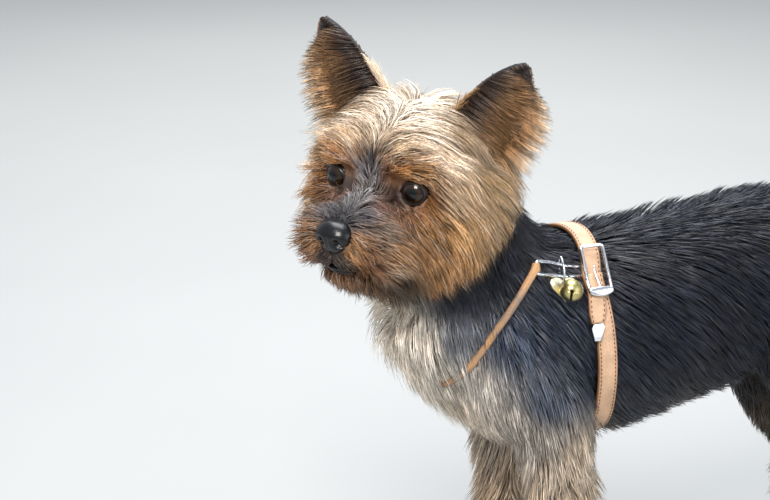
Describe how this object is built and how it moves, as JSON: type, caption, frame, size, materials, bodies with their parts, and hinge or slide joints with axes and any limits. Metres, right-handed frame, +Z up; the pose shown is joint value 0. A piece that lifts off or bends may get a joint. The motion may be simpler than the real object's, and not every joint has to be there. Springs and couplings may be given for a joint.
{
  "type": "yorkshire terrier",
  "caption": "Standing small long-haired terrier, life size and still, head turned aside, wearing a leather harness with buckle, wire links, heart tag and bell",
  "frame": {"origin": "on the floor, under the middle of the model's box", "axes": "+X runs along the body towards the tail, +Y to the dog's right side, +Z up"},
  "size_m": [0.3914, 0.1399, 0.3309],
  "materials": {
    "coat_dark": "silky hair",
    "coat_tan": "silky hair",
    "coat_ear": "short velvety hair",
    "eye": "polished",
    "nose": "moist",
    "leather_strap": "smooth tan, stitched",
    "leather_rolled": "smooth tan, rolled",
    "metal_bright": "polished",
    "tag_gold": "pale, satin",
    "bell_brass": "worn"
  },
  "bodies": {
    "root": {"head": "coat_tan", "jaw": "coat_tan", "neck": "coat_dark", "torso": "coat_dark", "tail": "coat_dark", "foreleg_left": "coat_tan", "foreleg_right": "coat_tan", "hindleg_left": "coat_tan", "hindleg_right": "coat_tan", "forepaw_left": "coat_tan", "forepaw_right": "coat_tan", "hindpaw_left": "coat_tan", "hindpaw_right": "coat_tan", "ear_left": "coat_ear", "ear_right": "coat_ear", "eye_left": "eye", "eye_right": "eye", "nose": "nose", "girth_strap": "leather_strap", "strap_end": "leather_strap", "chest_strap": "leather_rolled", "strap_tip": "metal_bright", "buckle": "metal_bright", "link_left": "metal_bright", "link_right": "metal_bright", "split_ring": "metal_bright", "tag": "tag_gold", "bell": "bell_brass"}
  },
  "joints": []
}
